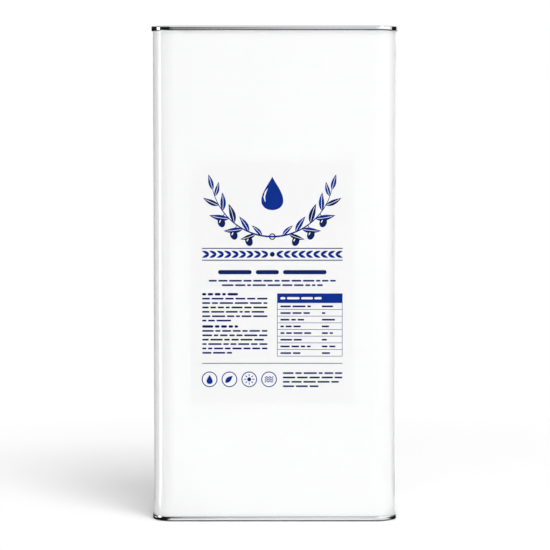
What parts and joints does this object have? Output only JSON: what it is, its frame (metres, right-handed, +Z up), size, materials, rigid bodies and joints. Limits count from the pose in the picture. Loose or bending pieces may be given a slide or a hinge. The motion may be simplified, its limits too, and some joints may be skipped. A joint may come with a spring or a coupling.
{
  "type": "oil tin with spout",
  "caption": "Rectangular seamed oil tin with a drawn-out pouring spout, screw cap with a pull ring, a folding wire handle and a sticker on its front.",
  "frame": {"origin": "on the floor, under the middle of the tin", "axes": "+Z up, front face with the sticker towards -Y, spout on the +X side"},
  "size_m": [0.1538, 0.1178, 0.31],
  "materials": {
    "white_enamel": "gloss white stoved enamel on tinplate",
    "tinplate": "bright bare tinplate",
    "seal_rubber": "grey sealing compound",
    "label_film": "satin white sticker",
    "label_ink": "blue printing ink",
    "spout_plastic": "natural white polyethylene",
    "crimp_metal": "bright crimped ring",
    "cap_steel": "bright lacquered tinplate",
    "liner_foam": "white foam disc",
    "wire_steel": "galvanised wire",
    "grip_plastic": "white moulded polyethylene"
  },
  "bodies": {
    "tin": {"tin_body": "white_enamel", "top_end": "tinplate", "bottom_end": "tinplate", "top_seam_compound": "seal_rubber", "bottom_seam_compound": "seal_rubber", "front_label": "label_film", "spout_base": "spout_plastic", "spout_gasket": "seal_rubber", "spout_wiper": "seal_rubber", "spout_crimp_ring": "crimp_metal", "handle_ear_front": "tinplate", "handle_ear_back": "tinplate"},
    "handle": {"handle_bail": "wire_steel", "handle_grip": "grip_plastic"},
    "spout": {"spout_nozzle": "spout_plastic"},
    "liner": {"cap_liner": "liner_foam"},
    "cap": {"screw_cap": "cap_steel", "cap_ring_bridge": "cap_steel"},
    "pull_ring": {"cap_pull_ring": "wire_steel"}
  },
  "joints": [
    {"name": "handle_swing", "type": "hinge", "parent": "tin", "child": "handle", "pos_m": [0, 0, 0.3053], "axis": [0, 1, 0], "range_deg": [0, 100]},
    {"name": "spout_slide", "type": "slide", "parent": "tin", "child": "spout", "axis": [0, 0, 1], "range_m": [0, 0.036]},
    {"name": "cap_rise", "type": "slide", "parent": "spout", "child": "liner", "axis": [0, 0, 1], "range_m": [0, 0.0295]},
    {"name": "cap_turn", "type": "hinge", "parent": "liner", "child": "cap", "pos_m": [0.036, 0, 0.303], "axis": [0, 0, 1], "range_deg": [0, 2520]},
    {"name": "ring_swing", "type": "hinge", "parent": "cap", "child": "pull_ring", "pos_m": [0.027, 0, 0.30638], "axis": [0, -1, 0], "range_deg": [0, 100]}
  ],
  "couplings": [
    {"joint": "cap_rise", "follows": "cap_turn", "m_per_rad": 0.00066845}
  ]
}
